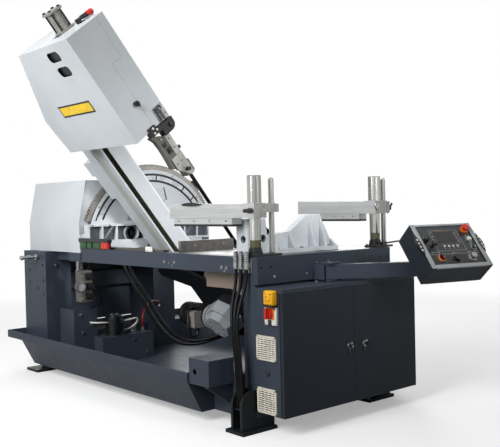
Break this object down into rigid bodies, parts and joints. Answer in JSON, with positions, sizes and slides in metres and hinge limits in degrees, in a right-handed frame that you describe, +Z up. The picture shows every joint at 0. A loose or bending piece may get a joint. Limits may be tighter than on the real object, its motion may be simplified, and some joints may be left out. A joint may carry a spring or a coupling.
{
  "type": "band saw",
  "caption": "Tilt-frame vertical band saw: leaning column head with wheel housing on a feed carriage, slate base with cabinet, vise, hold-down clamps, chip tray and swing console",
  "frame": {"origin": "centre of the rectangle of the four anchor holes, on the floor", "axes": "X to the operator's right, Y back from the operator, Z up"},
  "size_m": [1.9877, 3.2617, 2.2885],
  "materials": {
    "slate_paint": "satin slate blue-grey paint",
    "grey_paint": "fine textured light grey paint",
    "grey_casting": "light grey painted casting",
    "motor_paint": "mid grey paint",
    "black_casting": "black finish",
    "bright_steel": "bright turned steel",
    "ground_steel": "ground steel",
    "white_metal": "satin aluminium",
    "black_plastic": "black",
    "beige_plastic": "pale beige",
    "red_plastic": "signal red",
    "hose_rubber": "black"
  },
  "bodies": {
    "base": {"front_beam": "slate_paint", "front_leg_frame": "slate_paint", "side_beams": "slate_paint", "rear_frame": "slate_paint", "chip_tray": "slate_paint", "base_feet": "slate_paint", "table_plates": "ground_steel", "fixed_jaws": "ground_steel", "rear_cover": "grey_paint", "control_cabinet": "slate_paint", "cabinet_fittings": "beige_plastic", "hydraulic_unit": "slate_paint", "hydraulic_valves": "white_metal", "feed_cylinder": "ground_steel", "clamp_posts": "bright_steel", "boom_bracket": "slate_paint", "junction_box": "slate_paint", "base_hardware": "bright_steel", "hose_bundle": "hose_rubber"},
    "carriage": {"carriage_casting": "grey_casting", "tilt_sector": "grey_paint", "tilt_gear": "ground_steel", "feed_rod": "bright_steel", "hose_loop": "hose_rubber"},
    "head": {"head_frame": "grey_paint", "wheel_housing": "grey_paint", "tension_cylinder": "white_metal", "guide_bracket": "black_casting", "lower_guard": "slate_paint", "lower_guide": "black_casting", "gearbox": "grey_casting", "drive_motor": "motor_paint", "blade": "bright_steel", "tilt_motor": "grey_paint"},
    "console": {"console_case": "white_metal", "console_panel": "black_plastic", "console_cheeks": "black_plastic", "console_lamps": "beige_plastic"},
    "cabinet_door_left": {"cabinet_door_left": "slate_paint"},
    "cabinet_door_right": {"cabinet_door_right": "slate_paint"},
    "door_lock": {"door_lock": "bright_steel"},
    "switch_handle": {"switch_handle": "red_plastic"},
    "clamp_arm_left": {"clamp_arm_left": "white_metal"},
    "clamp_arm_right": {"clamp_arm_right": "white_metal"},
    "clamp_lever_left": {"clamp_lever_left": "black_plastic"},
    "clamp_lever_right": {"clamp_lever_right": "black_plastic"},
    "vise_jaw": {"vise_jaw": "grey_casting"},
    "boom_arm": {"boom_arm": "slate_paint"},
    "estop_button": {"estop_button": "red_plastic"},
    "start_button": {"start_button": "beige_plastic"},
    "mode_selector": {"mode_selector": "red_plastic"},
    "speed_dial": {"speed_dial": "black_plastic"},
    "joystick": {"joystick": "black_plastic"},
    "housing_door": {"housing_door": "grey_paint"},
    "door_knob": {"door_knob": "black_plastic"},
    "tension_slide": {"tension_slide": "bright_steel"},
    "idler_wheel": {"idler_wheel": "bright_steel"},
    "drive_wheel": {"drive_wheel": "bright_steel"},
    "guide_arm": {"guide_arm": "black_casting"},
    "tilt_pinion": {"tilt_pinion": "bright_steel"}
  },
  "joints": [
    {"name": "carriage_feed", "type": "slide", "parent": "base", "child": "carriage", "axis": [0, -1, 0], "range_m": [0, 0.54]},
    {"name": "head_tilt", "type": "hinge", "parent": "carriage", "child": "head", "pos_m": [0.1935, 0.51, 0.9], "axis": [0, 1, 0], "range_deg": [-6.5, 68.5], "deforming": ["hose_loop"]},
    {"name": "tilt_pinion_turn", "type": "hinge", "parent": "head", "child": "tilt_pinion", "pos_m": [-0.19121, 0.582, 1.38365], "axis": [0, 1, 0], "range_deg": [-89.2, 939.5]},
    {"name": "blade_tension", "type": "slide", "parent": "head", "child": "tension_slide", "axis": [-0.6225, 0, 0.7826], "range_m": [-0.03, 0]},
    {"name": "idler_spin", "type": "hinge", "parent": "tension_slide", "child": "idler_wheel", "pos_m": [-0.63444, -0.06805, 1.94087], "axis": [0.7826, 0, 0.6225], "continuous": true},
    {"name": "drive_spin", "type": "hinge", "parent": "head", "child": "drive_wheel", "pos_m": [0.48608, -0.06805, 0.53217], "axis": [0.7826, 0, 0.6225], "continuous": true},
    {"name": "housing_door_swing", "type": "hinge", "parent": "head", "child": "housing_door", "pos_m": [-0.49873, 0.373, 1.88271], "axis": [-0.6225, 0, 0.7826], "range_deg": [0, 105]},
    {"name": "door_knob_turn", "type": "hinge", "parent": "head", "child": "door_knob", "pos_m": [-0.58968, -0.44, 1.75287], "axis": [0, -1, 0], "range_deg": [0, 90]},
    {"name": "guide_height", "type": "slide", "parent": "head", "child": "guide_arm", "axis": [-0.6225, 0, 0.7826], "range_m": [-0.4, 0]},
    {"name": "clamp_height_left", "type": "slide", "parent": "base", "child": "clamp_arm_left", "axis": [0, 0, 1], "range_m": [-0.15, 0.12]},
    {"name": "clamp_lever_left_turn", "type": "hinge", "parent": "clamp_arm_left", "child": "clamp_lever_left", "pos_m": [-0.3805, -1.17, 1.139], "axis": [-1, 0, 0], "range_deg": [-40, 40]},
    {"name": "clamp_height_right", "type": "slide", "parent": "base", "child": "clamp_arm_right", "axis": [0, 0, 1], "range_m": [-0.15, 0.12]},
    {"name": "clamp_lever_right_turn", "type": "hinge", "parent": "clamp_arm_right", "child": "clamp_lever_right", "pos_m": [0.7265, -1.163, 1.131], "axis": [1, 0, 0], "range_deg": [-40, 40]},
    {"name": "vise_close", "type": "slide", "parent": "base", "child": "vise_jaw", "axis": [0, 1, 0], "range_m": [0, 0.5]},
    {"name": "left_cabinet_door_swing", "type": "hinge", "parent": "base", "child": "cabinet_door_left", "pos_m": [-0.3765, -1.388, 0.4], "axis": [0, 0, 1], "range_deg": [-110, 0]},
    {"name": "right_cabinet_door_swing", "type": "hinge", "parent": "base", "child": "cabinet_door_right", "pos_m": [0.6535, -1.388, 0.4], "axis": [0, 0, 1], "range_deg": [0, 110]},
    {"name": "door_lock_turn", "type": "hinge", "parent": "cabinet_door_right", "child": "door_lock", "pos_m": [0.2185, -1.398, 0.404], "axis": [0, -1, 0], "range_deg": [0, 90]},
    {"name": "switch_turn", "type": "hinge", "parent": "base", "child": "switch_handle", "pos_m": [-0.4045, -1.321, 0.624], "axis": [-1, 0, 0], "range_deg": [0, 90]},
    {"name": "boom_swing", "type": "hinge", "parent": "base", "child": "boom_arm", "pos_m": [0.0835, -1.279, 0.758], "axis": [0, 0, 1], "range_deg": [-40, 20]},
    {"name": "console_swivel", "type": "hinge", "parent": "boom_arm", "child": "console", "pos_m": [0.51228, -1.59053, 0.838], "axis": [0, 0, 1], "range_deg": [-25, 35]},
    {"name": "estop_push", "type": "slide", "parent": "console", "child": "estop_button", "axis": [-0.208, -0.7255, 0.6561], "range_m": [-0.006, 0]},
    {"name": "start_push", "type": "slide", "parent": "console", "child": "start_button", "axis": [-0.208, -0.7255, 0.6561], "range_m": [-0.004, 0], "stiffness_N_per_m": 600},
    {"name": "mode_turn", "type": "hinge", "parent": "console", "child": "mode_selector", "pos_m": [0.41773, -1.76062, 0.85863], "axis": [-0.208, -0.7255, 0.6561], "range_deg": [-45, 45]},
    {"name": "speed_turn", "type": "hinge", "parent": "console", "child": "speed_dial", "pos_m": [0.50989, -1.79114, 0.8541], "axis": [-0.208, -0.7255, 0.6561], "range_deg": [-135, 135]},
    {"name": "joystick_tilt", "type": "hinge", "parent": "console", "child": "joystick", "pos_m": [0.4063, -1.70616, 0.91523], "axis": [0.9613, -0.2756, 0], "range_deg": [-15, 15], "stiffness_Nm_per_rad": 1}
  ],
  "couplings": [
    {"joint": "tilt_pinion_turn", "follows": "head_tilt", "ratio": 13.714},
    {"joint": "idler_spin", "follows": "drive_spin", "ratio": 1}
  ]
}
